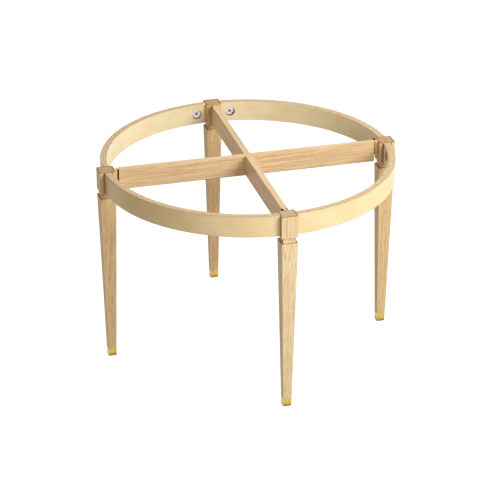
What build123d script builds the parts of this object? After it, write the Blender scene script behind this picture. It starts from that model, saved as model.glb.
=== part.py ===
from build123d import *
import os

# A round table's under-frame, in millimetres.
# The origin is on the floor at the middle of the frame, +Z is up, +X points to the
# right leg and -Y to the front leg. Each leg stands square to its own radius, so the
# four legs, apron arcs and corner joints are the same piece turned by 90 degrees.

# Overall size
FRAME_HEIGHT = 720.0
LEG_SPAN = 1065.0
QUARTER_TURN = 90.0

# Legs
HEAD_WIDTH = 57.0
HEAD_HEIGHT = 77.0
NECK_HEIGHT = 20.0
NECK_INSET = 6.5
FOOT_WIDTH = 29.0
ARRIS = 1.2

# Brass ferrules
FERRULE_HEIGHT = 30.0
FERRULE_WALL = 1.5
FERRULE_FLOOR = 3.0
FERRULE_BOTTOM_CHAMFER = 0.8

# Countersunk screw that holds each ferrule
SCREW_DIAMETER = 3.5
SCREW_HEAD_DIAMETER = 7.0
SCREW_HEAD_RECESS = 0.4
SCREW_LENGTH = 26.0
COUNTERSINK_ANGLE = 90.0

# Bent laminated apron
APRON_OUTER_RADIUS = 514.0
APRON_THICKNESS = 23.0
APRON_HEIGHT = 74.0
APRON_EDGE = 0.8

# Cross stretchers, half-lapped at the centre
STRETCHER_THICKNESS = 22.0
STRETCHER_HEIGHT = 74.0
STRETCHER_EDGE = 0.8
SHOULDER_GAP = 14.5
TONGUE_THICKNESS = 10.0
TONGUE_HEIGHT = 50.0
TENON_HAUNCH = 18.0
TENON_LENGTH = 17.5
MORTISE_DEPTH = 18.0

# Cam connectors between the apron ends and the heads
JOINT_RADIUS = 500.5
CAM_DISTANCE = 35.0
CAM_BORE_DIAMETER = 35.0
CAM_BORE_FLOOR = 504.5
HOUSING_DIAMETER = 34.6
HOUSING_DEPTH = 10.0
HOUSING_CHAMFER = 1.4
HOUSING_SLOT_WIDTH = 7.4
CHAMBER_DIAMETER = 22.4
CHAMBER_DEPTH = 8.8
WINDOW_DIAMETER = 14.0
CAM_DIAMETER = 22.0
CAM_BODY_DEPTH = 8.6
CAM_BOSS_DIAMETER = 13.6
CAM_POCKET_DIAMETER = 15.0
CAM_POCKET_OFFSET = 1.0
CAM_POCKET_DEPTH = 7.7
CAM_SLOT_WIDTH = 5.0
CAM_SLOT_DEPTH = 6.6
DRIVE_WIDTH = 5.0
DRIVE_DEPTH = 1.8

# Connecting bolts
BOLT_DIAMETER = 7.0
BOLT_NECK_DIAMETER = 4.5
BOLT_IN_HEAD = 22.0
BOLT_SHANK_END = 23.9
BOLT_HEAD_FACE = 29.4
BOLT_HEAD_LENGTH = 3.0
BOLT_CLEARANCE_DIAMETER = 7.4

# Locating dowels above and below each bolt
DOWEL_DIAMETER = 8.0
DOWEL_LENGTH = 36.0
DOWEL_SPACING = 25.0
DOWEL_HOLE_DEPTH = 18.5

# Values that follow from the sizes above
LEG_RADIUS = (LEG_SPAN - HEAD_WIDTH) / 2
HEAD_BOTTOM = FRAME_HEIGHT - HEAD_HEIGHT
LEDGE_HEIGHT = HEAD_BOTTOM - NECK_HEIGHT
NECK_WIDTH = HEAD_WIDTH - 2 * NECK_INSET
HEAD_INNER = LEG_RADIUS - HEAD_WIDTH / 2
HEAD_SIDE = HEAD_WIDTH / 2
APRON_INNER_RADIUS = APRON_OUTER_RADIUS - APRON_THICKNESS
APRON_BOTTOM = FRAME_HEIGHT - APRON_HEIGHT
JOINT_HEIGHT = FRAME_HEIGHT - APRON_HEIGHT / 2
SHOULDER = HEAD_INNER - SHOULDER_GAP
LAP_DEPTH = STRETCHER_HEIGHT / 2

UP = Vector(0, 0, 1)
LEGS = {"right": 0, "back": 1, "left": 2, "front": 3}


def body_width(height):
    """Width of the square, tapered leg body at a height above the floor."""
    return FOOT_WIDTH + (HEAD_WIDTH - FOOT_WIDTH) * height / LEDGE_HEIGHT


def outward(turn):
    """Direction from the centre of the frame to the leg that stands at a turn."""
    return Vector(1, 0, 0).rotate(Axis.Z, turn * QUARTER_TURN)


def leg_base(turn):
    """Plane on the floor under a leg, with its X axis pointing outward."""
    return Plane(origin=outward(turn) * LEG_RADIUS, x_dir=outward(turn), z_dir=UP)


def away_from_head(turn, side):
    """Direction from a head's side face into the apron arc that butts against it."""
    return UP.cross(outward(turn)) * side


def joint_plane(turn, side):
    """Plane on a head's side face at the bolt's axis, its Z axis along the bolt."""
    away = away_from_head(turn, side)
    origin = outward(turn) * JOINT_RADIUS + away * HEAD_SIDE + UP * JOINT_HEIGHT
    return Plane(origin=origin, x_dir=UP, z_dir=away)


def cam_plane(turn, side, radius):
    """Plane across a cam's axis, facing the centre, its X axis towards the head."""
    away = away_from_head(turn, side)
    along = away * (HEAD_SIDE + CAM_DISTANCE)
    origin = outward(turn) * radius + along + UP * JOINT_HEIGHT
    return Plane(origin=origin, x_dir=away * -1, z_dir=outward(turn) * -1)


def upright_edges(part):
    """Edges of a part that run nearly upright."""
    return part.edges().filter_by(lambda edge: abs((edge % 0.5).Z) > 0.9)


def make_leg(turn):
    """Leg: tapered body with a spigot for the ferrule, neck groove and square head."""
    base = leg_base(turn)
    inner_face = Plane(
        origin=outward(turn) * HEAD_INNER + UP * FRAME_HEIGHT,
        x_dir=outward(turn).cross(UP),
        z_dir=outward(turn) * -1,
    )
    spigot_end = Plane(
        origin=outward(turn) * LEG_RADIUS + UP * FERRULE_FLOOR, z_dir=UP * -1
    )
    with BuildPart() as leg:
        for height in (FERRULE_HEIGHT, LEDGE_HEIGHT):
            with BuildSketch(base.offset(height)):
                Rectangle(body_width(height), body_width(height))
        loft()
        with BuildSketch(base.offset(HEAD_BOTTOM)):
            Rectangle(HEAD_WIDTH, HEAD_WIDTH)
        extrude(amount=HEAD_HEIGHT)
        chamfer(upright_edges(leg), ARRIS)
        with BuildSketch(base.offset(LEDGE_HEIGHT)):
            Rectangle(NECK_WIDTH, NECK_WIDTH)
        extrude(amount=NECK_HEIGHT)
        for height in (FERRULE_FLOOR, FERRULE_HEIGHT):
            with BuildSketch(base.offset(height)):
                spigot_width = body_width(height) - 2 * FERRULE_WALL
                Rectangle(spigot_width, spigot_width)
        loft()
        # Blind mortise for the stretcher's haunched tenon
        with BuildSketch(inner_face):
            with Locations((0, -TENON_HAUNCH)):
                Rectangle(
                    TONGUE_THICKNESS,
                    TONGUE_HEIGHT - TENON_HAUNCH,
                    align=(Align.CENTER, Align.MAX),
                )
        extrude(amount=-MORTISE_DEPTH, mode=Mode.SUBTRACT)
        # Bolt and dowel holes in the two side faces
        for side in (1, -1):
            with Locations(joint_plane(turn, side)):
                Hole(BOLT_DIAMETER / 2, BOLT_IN_HEAD)
                with Locations((DOWEL_SPACING, 0), (-DOWEL_SPACING, 0)):
                    Hole(DOWEL_DIAMETER / 2, DOWEL_HOLE_DEPTH)
        with Locations(spigot_end):
            Hole(SCREW_DIAMETER / 2, SCREW_LENGTH - FERRULE_FLOOR)
    return leg


def make_ferrule(turn):
    """Ferrule: tapered square brass cup with a countersunk hole in its floor."""
    base = leg_base(turn)
    underside = Plane(origin=outward(turn) * LEG_RADIUS, z_dir=UP * -1)
    with BuildPart() as ferrule:
        for height in (0, FERRULE_HEIGHT):
            with BuildSketch(base.offset(height)):
                Rectangle(body_width(height), body_width(height))
        loft()
        chamfer(upright_edges(ferrule), ARRIS)
        chamfer(ferrule.faces().sort_by(Axis.Z)[0].edges(), FERRULE_BOTTOM_CHAMFER)
        for height in (FERRULE_FLOOR, FERRULE_HEIGHT):
            with BuildSketch(base.offset(height)):
                cup_width = body_width(height) - 2 * FERRULE_WALL
                Rectangle(cup_width, cup_width)
        loft(mode=Mode.SUBTRACT)
        with Locations(underside):
            CounterSinkHole(
                SCREW_DIAMETER / 2,
                SCREW_HEAD_DIAMETER / 2 + SCREW_HEAD_RECESS,
                FERRULE_FLOOR,
                COUNTERSINK_ANGLE,
            )
    return ferrule


def make_ferrule_screw(turn):
    """Countersunk wood screw up through the ferrule's floor into the leg."""
    head_radius = SCREW_HEAD_DIAMETER / 2
    shank_radius = SCREW_DIAMETER / 2
    head_end = SCREW_HEAD_RECESS + head_radius - shank_radius
    section = Plane(
        origin=outward(turn) * LEG_RADIUS,
        x_dir=outward(turn),
        z_dir=outward(turn).cross(UP),
    )
    with BuildPart() as screw:
        with BuildSketch(section):
            with BuildLine():
                Polyline(
                    (0, SCREW_HEAD_RECESS),
                    (head_radius, SCREW_HEAD_RECESS),
                    (shank_radius, head_end),
                    (shank_radius, SCREW_LENGTH - 2 * shank_radius),
                    (0, SCREW_LENGTH),
                    close=True,
                )
            make_face()
        revolve(axis=Axis(section.origin, UP))
    return screw


def make_apron_arc(turn):
    """Apron arc from the leg at a turn to the next, with its two drilled ends."""
    quarter = Plane.XY.rotated((0, 0, turn * QUARTER_TURN))
    ends = ((turn, 1), (turn + 1, -1))
    with BuildPart() as arc:
        with BuildSketch(quarter.offset(APRON_BOTTOM)):
            Circle(APRON_OUTER_RADIUS)
            Circle(APRON_INNER_RADIUS, mode=Mode.SUBTRACT)
            with Locations((HEAD_SIDE, HEAD_SIDE)):
                Rectangle(
                    APRON_OUTER_RADIUS,
                    APRON_OUTER_RADIUS,
                    align=(Align.MIN, Align.MIN),
                    mode=Mode.INTERSECT,
                )
        extrude(amount=APRON_HEIGHT)
        chamfer(arc.edges().filter_by(GeomType.CIRCLE), APRON_EDGE)
        for leg_turn, side in ends:
            # Flat-bottomed bore for the cam housing, open to the inner face
            with BuildSketch(cam_plane(leg_turn, side, CAM_BORE_FLOOR)):
                Circle(CAM_BORE_DIAMETER / 2)
            extrude(amount=2 * APRON_THICKNESS, mode=Mode.SUBTRACT)
            with BuildSketch(joint_plane(leg_turn, side)):
                Circle(BOLT_CLEARANCE_DIAMETER / 2)
            extrude(amount=CAM_DISTANCE, mode=Mode.SUBTRACT)
            with BuildSketch(joint_plane(leg_turn, side)):
                with Locations((DOWEL_SPACING, 0), (-DOWEL_SPACING, 0)):
                    Circle(DOWEL_DIAMETER / 2)
            extrude(amount=DOWEL_HOLE_DEPTH, mode=Mode.SUBTRACT)
    return arc


def make_stretcher(turn, lapped_from_above):
    """Stretcher: board with a half-lap notch and a tongue and tenon at each end."""
    along = outward(turn)
    elevation = Plane(origin=UP * FRAME_HEIGHT, x_dir=along, z_dir=along.cross(UP))
    notch_top = 0 if lapped_from_above else LAP_DEPTH - STRETCHER_HEIGHT
    with BuildPart() as stretcher:
        with BuildSketch(elevation):
            Rectangle(2 * SHOULDER, STRETCHER_HEIGHT, align=(Align.CENTER, Align.MAX))
        extrude(amount=STRETCHER_THICKNESS / 2, both=True)
        long_edges = stretcher.edges().filter_by(Axis((0, 0, 0), along))
        chamfer(long_edges, STRETCHER_EDGE)
        with BuildSketch(elevation):
            with Locations((0, notch_top)):
                Rectangle(
                    STRETCHER_THICKNESS, LAP_DEPTH, align=(Align.CENTER, Align.MAX)
                )
        extrude(amount=STRETCHER_THICKNESS, both=True, mode=Mode.SUBTRACT)
        with BuildSketch(elevation):
            with BuildLine():
                Polyline(
                    (SHOULDER, 0),
                    (HEAD_INNER, 0),
                    (HEAD_INNER, -TENON_HAUNCH),
                    (HEAD_INNER + TENON_LENGTH, -TENON_HAUNCH),
                    (HEAD_INNER + TENON_LENGTH, -TONGUE_HEIGHT),
                    (SHOULDER, -TONGUE_HEIGHT),
                    close=True,
                )
            make_face()
            mirror(about=Plane.YZ)
        extrude(amount=TONGUE_THICKNESS / 2, both=True)
    return stretcher


def make_cam_housing(turn, side):
    """Cam housing: round cup with a drive window, slotted from the back for the bolt."""
    floor = cam_plane(turn, side, CAM_BORE_FLOOR)
    with BuildPart() as housing:
        with BuildSketch(floor):
            Circle(HOUSING_DIAMETER / 2)
        extrude(amount=HOUSING_DEPTH)
        front = housing.faces().sort_by(Axis(floor.origin, floor.z_dir))[-1]
        chamfer(front.edges(), HOUSING_CHAMFER)
        with BuildSketch(floor):
            Circle(CHAMBER_DIAMETER / 2)
            Rectangle(
                HOUSING_DIAMETER,
                HOUSING_SLOT_WIDTH,
                align=(Align.MIN, Align.CENTER),
            )
        extrude(amount=CHAMBER_DEPTH, mode=Mode.SUBTRACT)
        with BuildSketch(floor):
            Circle(WINDOW_DIAMETER / 2)
        extrude(amount=HOUSING_DEPTH, mode=Mode.SUBTRACT)
    return housing


def make_cam(turn, side):
    """Cam: drum with an off-centre pocket, a slot for the bolt's neck and a hex drive."""
    floor = cam_plane(turn, side, CAM_BORE_FLOOR)
    with BuildPart() as cam:
        with BuildSketch(floor):
            Circle(CAM_DIAMETER / 2)
        extrude(amount=CAM_BODY_DEPTH)
        with BuildSketch(floor):
            Circle(CAM_BOSS_DIAMETER / 2)
        extrude(amount=HOUSING_DEPTH)
        with BuildSketch(floor):
            with Locations((-CAM_POCKET_OFFSET, 0)):
                Circle(CAM_POCKET_DIAMETER / 2)
        extrude(amount=CAM_POCKET_DEPTH, mode=Mode.SUBTRACT)
        with BuildSketch(floor):
            Rectangle(
                CAM_DIAMETER, CAM_SLOT_WIDTH, align=(Align.MIN, Align.CENTER)
            )
        extrude(amount=CAM_SLOT_DEPTH, mode=Mode.SUBTRACT)
        with BuildSketch(floor.offset(HOUSING_DEPTH)):
            RegularPolygon(DRIVE_WIDTH / 2, 6, major_radius=False)
        extrude(amount=-DRIVE_DEPTH, mode=Mode.SUBTRACT)
    return cam


def make_bolt(turn, side):
    """Connecting bolt: shank screwed into the head, slim neck and cam-side head."""
    face = joint_plane(turn, side)
    section = Plane(origin=face.origin, x_dir=face.x_dir, z_dir=face.y_dir * -1)
    shank = BOLT_DIAMETER / 2
    neck = BOLT_NECK_DIAMETER / 2
    with BuildPart() as bolt:
        with BuildSketch(section):
            with BuildLine():
                Polyline(
                    (0, -BOLT_IN_HEAD),
                    (shank, -BOLT_IN_HEAD),
                    (shank, BOLT_SHANK_END),
                    (neck, BOLT_SHANK_END),
                    (neck, BOLT_HEAD_FACE),
                    (shank, BOLT_HEAD_FACE),
                    (shank, BOLT_HEAD_FACE + BOLT_HEAD_LENGTH),
                    (0, BOLT_HEAD_FACE + BOLT_HEAD_LENGTH),
                    close=True,
                )
            make_face()
        revolve(axis=Axis(face.origin, face.z_dir))
    return bolt


def make_dowel(turn, side, height):
    """Locating dowel across a corner joint, at a height from the bolt's axis."""
    with BuildPart() as dowel:
        with BuildSketch(joint_plane(turn, side)):
            with Locations((height, 0)):
                Circle(DOWEL_DIAMETER / 2)
        extrude(amount=DOWEL_LENGTH / 2, both=True)
    return dowel


def save(piece, node):
    """Label a finished piece and write it as a node of its own."""
    piece.part.label = node
    export_step(piece.part, f"parts/{node}.step")


os.makedirs("parts", exist_ok=True)

for name, turn in LEGS.items():
    save(make_leg(turn), f"leg_{name}")
    save(make_ferrule(turn), f"ferrule_{name}")
    save(make_ferrule_screw(turn), f"ferrule_screw_{name}")

# Apron arcs and corner joints. Side 1 of a leg faces the next leg of the circle.
names = list(LEGS)
for name, turn in LEGS.items():
    next_name = names[(turn + 1) % len(names)]
    last_name = names[turn - 1]
    save(make_apron_arc(turn), f"apron_{name}_{next_name}")
    for side, neighbour in ((1, next_name), (-1, last_name)):
        corner = f"{name}_{neighbour}"
        save(make_cam_housing(turn, side), f"cam_housing_{corner}")
        save(make_cam(turn, side), f"cam_{corner}")
        save(make_bolt(turn, side), f"bolt_{corner}")
        save(make_dowel(turn, side, DOWEL_SPACING), f"dowel_upper_{corner}")
        save(make_dowel(turn, side, -DOWEL_SPACING), f"dowel_lower_{corner}")

save(make_stretcher(LEGS["right"], True), "stretcher_left_right")
save(make_stretcher(LEGS["back"], False), "stretcher_front_back")
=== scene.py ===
"""Looks of a round dining table's under-frame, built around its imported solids.

Lengths are metres in the frame of the solids: +Z is up, +X points to the right leg, -Y to
the front leg, and the floor is at Z = 0. Sizes that follow the drawing are written in
millimetres and turned into metres where a mesh is made.
"""

from __future__ import annotations

import sys

import logging
import math
from dataclasses import dataclass, field
from enum import Enum
from typing import Iterable, Sequence

import bpy
import bmesh
import numpy as np
from mathutils import Matrix


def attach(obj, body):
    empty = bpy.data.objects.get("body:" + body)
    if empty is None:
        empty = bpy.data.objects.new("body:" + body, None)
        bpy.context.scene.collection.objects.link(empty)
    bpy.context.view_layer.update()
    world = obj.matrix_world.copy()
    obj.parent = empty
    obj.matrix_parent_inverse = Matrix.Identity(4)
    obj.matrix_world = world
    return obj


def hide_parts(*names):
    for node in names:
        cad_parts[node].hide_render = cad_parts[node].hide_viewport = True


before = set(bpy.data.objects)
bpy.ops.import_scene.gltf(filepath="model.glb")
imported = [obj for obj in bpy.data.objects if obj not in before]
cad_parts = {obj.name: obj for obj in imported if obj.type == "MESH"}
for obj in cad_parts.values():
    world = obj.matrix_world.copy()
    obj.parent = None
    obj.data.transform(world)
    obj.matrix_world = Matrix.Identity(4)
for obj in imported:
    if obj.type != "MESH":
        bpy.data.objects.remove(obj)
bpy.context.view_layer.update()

MM = 0.001
LOG = logging.getLogger("table_frame")
Colour = tuple[float, float, float]
Socket = bpy.types.NodeSocket
# A grid of points, whether it closes, the quads it keeps and its nearness to an edge
Patch = tuple[np.ndarray, bool, np.ndarray | None, np.ndarray | float]


class Corner(Enum):
    """The four legs, each with its number of quarter turns from the right leg."""

    RIGHT = 0
    BACK = 1
    LEFT = 2
    FRONT = 3

    @property
    def label(self) -> str:
        """Name of the leg as the solids have it."""
        return self.name.lower()

    def neighbour(self, side: int) -> "Corner":
        """Leg that follows on one side, 1 counter-clockwise and -1 clockwise."""
        return Corner((self.value + side) % len(Corner))


class Grain(Enum):
    """Direction of the wood's fibres, as the turn that brings them onto the Z axis."""

    UPRIGHT = (0.0, 0.0, 0.0)
    LEFT_RIGHT = (0.0, -math.pi / 2, 0.0)
    FRONT_BACK = (math.pi / 2, 0.0, 0.0)

    @property
    def axis(self) -> Colour:
        """Unit vector along the fibres."""
        place = ("LEFT_RIGHT", "FRONT_BACK", "UPRIGHT").index(self.name)
        return tuple(1.0 if i == place else 0.0 for i in range(3))


def srgb(red: int, green: int, blue: int) -> Colour:
    """Linear colour from the 0 to 255 values that a screen shows.

    Args:
        red: Red, 0 to 255.
        green: Green, 0 to 255.
        blue: Blue, 0 to 255.

    Returns:
        The three linear values.
    """
    screen = np.array([red, green, blue]) / 255.0
    linear = np.where(screen <= 0.04045, screen / 12.92, ((screen + 0.055) / 1.055) ** 2.4)
    return tuple(float(v) for v in linear)


def quarter_turned(points: np.ndarray, turns: int) -> np.ndarray:
    """Points turned about the Z axis by exact quarter turns.

    Args:
        points: Array whose last axis is X, Y, Z.
        turns: Number of quarter turns, counter-clockwise.

    Returns:
        The turned points.
    """
    x, y, z = points[..., 0], points[..., 1], points[..., 2]
    for _ in range(turns % 4):
        x, y = -y, x
    return np.stack([x, y, z], axis=-1)


def border(across: np.ndarray, levels: np.ndarray) -> np.ndarray:
    """Points round the border of a grid: along the bottom, up, back along the top, down.

    Args:
        across: Places of the columns.
        levels: Heights of the rows.

    Returns:
        Points by 2 array.
    """
    rows = levels[1:-1]
    u = np.concatenate([across, np.full(len(rows), across[-1]), across[::-1], np.full(len(rows), across[0])])
    z = np.concatenate([np.full(len(across), levels[0]), rows, np.full(len(across), levels[-1]), rows[::-1]])
    return np.stack([u, z], axis=-1)


def stand(name: str, data: bpy.types.ID) -> bpy.types.Object:
    """Put a new object with the given data into the scene."""
    made = bpy.data.objects.new(name, data)
    bpy.context.scene.collection.objects.link(made)
    return made


def facing(target: Sequence[float], azimuth: float, elevation: float, distance: float) -> Matrix:
    """Place from which a camera or lamp looks at a target.

    Args:
        target: The point that it looks at.
        azimuth: Direction of the place in degrees, counter-clockwise from +X.
        elevation: Its angle above the horizon in degrees.
        distance: Its distance from the target.

    Returns:
        The matrix, whose Z axis points away from the target.
    """
    a, e = math.radians(azimuth), math.radians(elevation)
    back = np.array([math.cos(a) * math.cos(e), math.sin(a) * math.cos(e), math.sin(e)])
    right = np.array([-math.sin(a), math.cos(a), 0.0])
    matrix = np.eye(4)
    matrix[:3, :] = np.stack([right, np.cross(back, right), back, np.array(target) + back * distance], axis=1)
    return Matrix(matrix.tolist())


class Surface:
    """Collects grids of points, welds them where they meet, and makes one mesh of them."""

    WELD = 2e-7

    def __init__(self) -> None:
        """Start with no patch."""
        self.points: list[np.ndarray] = []
        self.quads: list[np.ndarray] = []
        self.arris: list[np.ndarray] = []
        self.count = 0

    def add(
        self,
        grid: np.ndarray,
        closed: bool = False,
        keep: np.ndarray | None = None,
        arris: np.ndarray | float = 0.0,
    ) -> None:
        """Add a grid of points and the quads between its rows and columns.

        Args:
            grid: Rows by columns by 3 array of points in millimetres.
            closed: Whether the last column joins the first.
            keep: Rows - 1 by columns array that is False where a quad is left out.
            arris: Nearness to an edge, 0 to 1, for each point, and 2 where the wood is bored.
        """
        rows, columns = grid.shape[:2]
        index = np.arange(rows * columns).reshape(rows, columns) + self.count
        right = np.roll(index, -1, axis=1)
        quads = np.stack([index[:-1], right[:-1], right[1:], index[1:]], axis=-1)
        if not closed:
            quads = quads[:, :-1]
        if keep is not None:
            quads = quads[keep[:, : quads.shape[1]]]
        self.points.append(grid.reshape(-1, 3))
        self.quads.append(quads.reshape(-1, 4))
        self.arris.append(np.broadcast_to(arris, (rows, columns)).reshape(-1).astype(float))
        self.count += rows * columns

    def to_object(self, name: str, sharp: float = 40.0) -> bpy.types.Object:
        """Weld the patches and make the object, its faces outward.

        Points closer than the weld become one; a quad that loses a corner so becomes a
        triangle, and one that loses more is dropped.

        Args:
            name: Name of the piece.
            sharp: Angle in degrees above which an edge stays crisp.

        Returns:
            The object, at the origin.
        """
        points = np.concatenate(self.points) * MM
        quads = np.concatenate(self.quads)
        arris = np.concatenate(self.arris)
        keys = np.round(points / self.WELD).astype(np.int64)
        _, first, inverse = np.unique(keys, axis=0, return_index=True, return_inverse=True)
        quads = inverse.reshape(-1)[quads]
        after = np.roll(quads, -1, axis=1)
        same = quads == after
        whole = quads[~same.any(axis=1)]
        partly = quads[same.sum(axis=1) == 1]
        kept = partly[~same[same.sum(axis=1) == 1]].reshape(-1, 3)
        mesh = bpy.data.meshes.new(name)
        mesh.from_pydata(points[first].tolist(), [], whole.tolist() + kept.tolist())
        nearness = mesh.attributes.new("arris", "FLOAT", "POINT")
        nearness.data.foreach_set("value", arris[first].astype(np.float32))
        work = bmesh.new()
        work.from_mesh(mesh)
        bmesh.ops.recalc_face_normals(work, faces=work.faces)
        open_edges = sum(1 for edge in work.edges if not edge.is_manifold)
        work.to_mesh(mesh)
        work.free()
        mesh.polygons.foreach_set("use_smooth", np.ones(len(mesh.polygons), dtype=bool))
        mesh.set_sharp_from_angle(angle=math.radians(sharp))
        mesh.validate()
        piece = stand(name, mesh)
        weighted = piece.modifiers.new("even_shading", "WEIGHTED_NORMAL")
        weighted.keep_sharp = True
        counts = (len(mesh.vertices), len(mesh.polygons), open_edges)
        LOG.info("%s: %d points, %d faces, %d open edges", name, *counts)
        return piece


class Ink:
    """Writes shader nodes: each method adds one or a few and returns what comes out."""

    def __init__(self, block: bpy.types.Material | bpy.types.World) -> None:
        """Start with no node.

        Args:
            block: The material or world to write.
        """
        block.use_nodes = True
        self.block = block
        self.tree = block.node_tree
        self.tree.nodes.clear()

    def node(self, kind: str, **settings: object) -> bpy.types.Node:
        """Add a node and set its properties."""
        made = self.tree.nodes.new(kind)
        for key, value in settings.items():
            setattr(made, key, value)
        return made

    def feed(self, socket: Socket, value: object) -> None:
        """Link a socket to another, or set its number or colour.

        Args:
            socket: The input.
            value: An output to link, or the value to set.
        """
        if isinstance(value, bpy.types.NodeSocket):
            self.tree.links.new(value, socket)
        elif socket.type == "RGBA" and len(value) == 3:
            socket.default_value = (*value, 1.0)
        else:
            socket.default_value = value

    def math(self, operation: str, *values: object, clamp: bool = False) -> Socket:
        """One sum on numbers."""
        made = self.node("ShaderNodeMath", operation=operation, use_clamp=clamp)
        for socket, value in zip(made.inputs, values):
            self.feed(socket, value)
        return made.outputs[0]

    def times(self, first: object, second: object) -> Socket:
        """Product of two numbers."""
        return self.math("MULTIPLY", first, second)

    def reach(self, x: Socket, y: Socket) -> Socket:
        """Distance from an axis: the root of the sum of the two squares."""
        return self.math("SQRT", self.math("ADD", self.times(x, x), self.times(y, y)))

    def vector(self, operation: str, *values: object) -> Socket:
        """One sum on vectors."""
        made = self.node("ShaderNodeVectorMath", operation=operation)
        for socket, value in zip(made.inputs, values):
            self.feed(socket, value)
        return made.outputs["Value"] if operation in ("LENGTH", "DOT_PRODUCT") else made.outputs[0]

    def split(self, value: Socket) -> tuple[Socket, Socket, Socket]:
        """The three parts of a vector."""
        made = self.node("ShaderNodeSeparateXYZ")
        self.feed(made.inputs[0], value)
        return made.outputs[0], made.outputs[1], made.outputs[2]

    def join(self, *parts: object) -> Socket:
        """A vector from three numbers, each a value or a pair of a value and its factor."""
        made = self.node("ShaderNodeCombineXYZ")
        for socket, part in zip(made.inputs, parts):
            self.feed(socket, self.times(*part) if isinstance(part, tuple) else part)
        return made.outputs[0]

    def noise(
        self, at: Socket, scale: float, detail: float = 2.0, roughness: float = 0.5, colour: bool = False
    ) -> Socket:
        """Smooth random values in space."""
        made = self.node("ShaderNodeTexNoise")
        self.feed(made.inputs["Vector"], at)
        made.inputs["Scale"].default_value = scale
        made.inputs["Detail"].default_value = detail
        made.inputs["Roughness"].default_value = roughness
        return made.outputs["Color" if colour else "Fac"]

    def drawn(self, at: Socket, along: float, scale: float, detail: float, roughness: float = 0.5) -> Socket:
        """Noise drawn out along Z, where a factor below 1 makes it longer."""
        return self.noise(self.vector("MULTIPLY", at, (1.0, 1.0, along)), scale, detail, roughness)

    def chance(self, at: Socket) -> Socket:
        """One random value for each whole number."""
        made = self.node("ShaderNodeTexWhiteNoise", noise_dimensions="1D")
        self.feed(made.inputs["W"], at)
        return made.outputs["Value"]

    def fade(self, value: Socket, start: float, end: float, low: float = 0.0, high: float = 1.0) -> Socket:
        """Smooth step from low at start to high at end."""
        made = self.node("ShaderNodeMapRange", interpolation_type="SMOOTHSTEP")
        for socket, number in zip(made.inputs, (value, start, end, low, high)):
            self.feed(socket, number)
        return made.outputs["Result"]

    def mix(self, share: object, first: object, second: object, blend: str = "MIX") -> Socket:
        """Mix of two colours."""
        made = self.node("ShaderNodeMix", data_type="RGBA", blend_type=blend, clamp_factor=True)
        self.feed(made.inputs["Factor"], share)
        colours = [socket for socket in made.inputs if socket.type == "RGBA"]
        self.feed(colours[0], first)
        self.feed(colours[1], second)
        return next(socket for socket in made.outputs if socket.type == "RGBA")

    def wash(self, colour: object, tone: object, value: object, share: object) -> Socket:
        """Colour that a tone covers by a value times a share."""
        return self.mix(self.times(value, share), colour, tone)

    def stain(
        self, colour: object, tone: object, value: Socket, start: float, end: float, most: float
    ) -> Socket:
        """Colour that a tone covers up to a share, as a value goes from start to end."""
        return self.mix(self.fade(value, start, end, 0.0, most), colour, tone)

    def place(self, turn: Sequence[float] = (0, 0, 0), shift: Sequence[float] = (0, 0, 0)) -> Socket:
        """Object coordinates in millimetres, turned and then shifted by a Mapping node."""
        source = self.node("ShaderNodeTexCoord")
        made = self.node("ShaderNodeMapping", vector_type="POINT")
        self.feed(made.inputs["Vector"], source.outputs["Object"])
        made.inputs["Location"].default_value = tuple(shift)
        made.inputs["Rotation"].default_value = tuple(turn)
        made.inputs["Scale"].default_value = (1 / MM, 1 / MM, 1 / MM)
        return made.outputs[0]

    def normal(self) -> Socket:
        """Direction that the surface faces."""
        return self.node("ShaderNodeNewGeometry").outputs["Normal"]

    def attribute(self, name: str) -> Socket:
        """A number that the mesh carries at each point."""
        return self.node("ShaderNodeAttribute", attribute_name=name).outputs["Fac"]

    def bump(self, height: Socket, strength: float, distance: float) -> Socket:
        """Normal tilted by a height in millimetres."""
        made = self.node("ShaderNodeBump")
        made.inputs["Strength"].default_value = strength
        made.inputs["Distance"].default_value = distance * MM
        self.feed(made.inputs["Height"], height)
        return made.outputs[0]

    def seen(self) -> Socket:
        """1 for what the eye sees, straight, in a mirror or through glass, and 0 for other light."""
        path = self.node("ShaderNodeLightPath")
        seen = self.math("ADD", path.outputs["Is Camera Ray"], path.outputs["Is Glossy Ray"])
        return self.math("ADD", seen, path.outputs["Is Transmission Ray"], clamp=True)

    def shader(self, kind: str, *fed: object, **named: object) -> Socket:
        """Add a shader.

        Args:
            kind: The node's type.
            fed: What its first sockets get, in order.
            named: What other sockets get, by name with an underscore for each space.

        Returns:
            The shader's output.
        """
        made = self.node(kind)
        for socket, value in zip(made.inputs, fed):
            self.feed(socket, value)
        for key, value in named.items():
            self.feed(made.inputs[key.replace("_", " ")], value)
        return made.outputs[0]

    def close(self, kind: str, shader: Socket) -> None:
        """Link a shader to an output node of the given type."""
        self.feed(self.node(kind).inputs["Surface"], shader)

    def surface(
        self, colour: Socket, roughness: Socket, normal: Socket, **constants: float
    ) -> bpy.types.Material:
        """Close the material with a Principled shader.

        Args:
            colour: Base colour.
            roughness: Roughness.
            normal: Bumped normal.
            constants: Other sockets by name, an underscore for each space.

        Returns:
            The finished material.
        """
        looks = self.shader(
            "ShaderNodeBsdfPrincipled", Base_Color=colour, Roughness=roughness, Normal=normal, **constants
        )
        self.close("ShaderNodeOutputMaterial", looks)
        return self.block


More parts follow.
